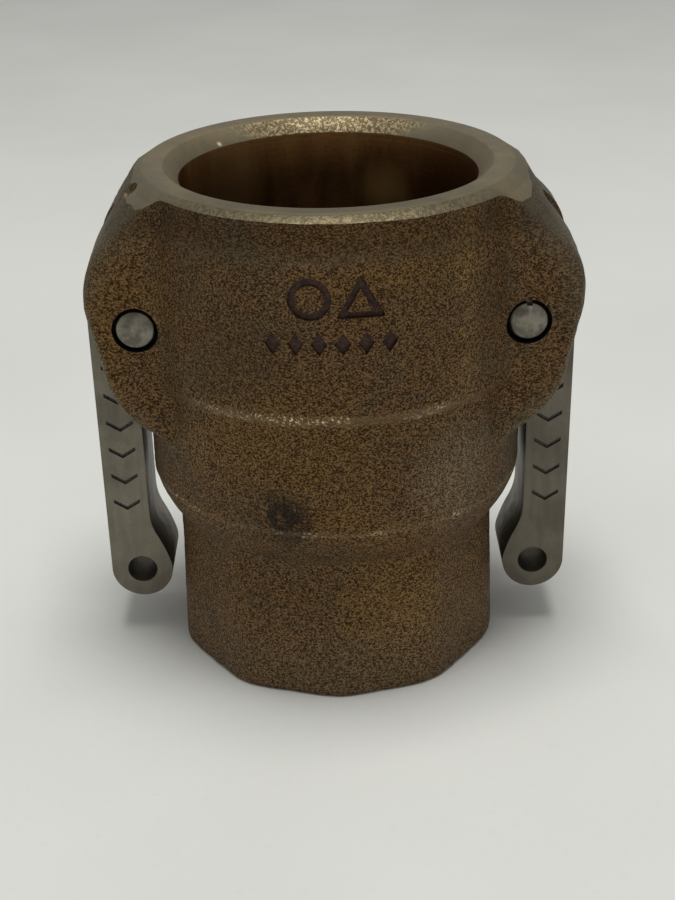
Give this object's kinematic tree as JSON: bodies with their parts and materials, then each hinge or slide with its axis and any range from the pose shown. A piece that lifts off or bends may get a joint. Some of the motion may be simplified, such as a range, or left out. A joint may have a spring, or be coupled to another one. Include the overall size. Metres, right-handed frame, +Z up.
{
  "type": "camlock hose coupling",
  "caption": "Cam and groove coupler: cast bronze socket with hanging steel cam levers, flat rubber seal and a female pipe thread in the foot.",
  "frame": {"origin": "centre of the foot, on the plane the coupler stands on", "axes": "+Z up along the socket, which opens upwards; +X through the right-hand cam arm; -Y towards the viewer of the front"},
  "size_m": [0.0618, 0.051, 0.0654],
  "materials": {
    "cast_bronze": "sand-cast bronze skin, with the mouth and thread machined bright",
    "seal_rubber": "moulded nitrile",
    "arm_steel": "investment-cast stainless, satin",
    "pin_steel": "ground stainless"
  },
  "bodies": {
    "housing": {"coupler_body": "cast_bronze", "gasket": "seal_rubber", "pivot_pin_left": "pin_steel", "pivot_pin_right": "pin_steel"},
    "left_arm": {"cam_arm_left": "arm_steel"},
    "right_arm": {"cam_arm_right": "arm_steel"}
  },
  "joints": [
    {"name": "left_arm_hinge", "type": "hinge", "parent": "housing", "child": "left_arm", "pos_m": [-0.0237, 0, 0.04855], "axis": [0, 1, 0], "range_deg": [0, 110]},
    {"name": "right_arm_hinge", "type": "hinge", "parent": "housing", "child": "right_arm", "pos_m": [0.0237, 0, 0.04855], "axis": [0, -1, 0], "range_deg": [0, 110]}
  ]
}
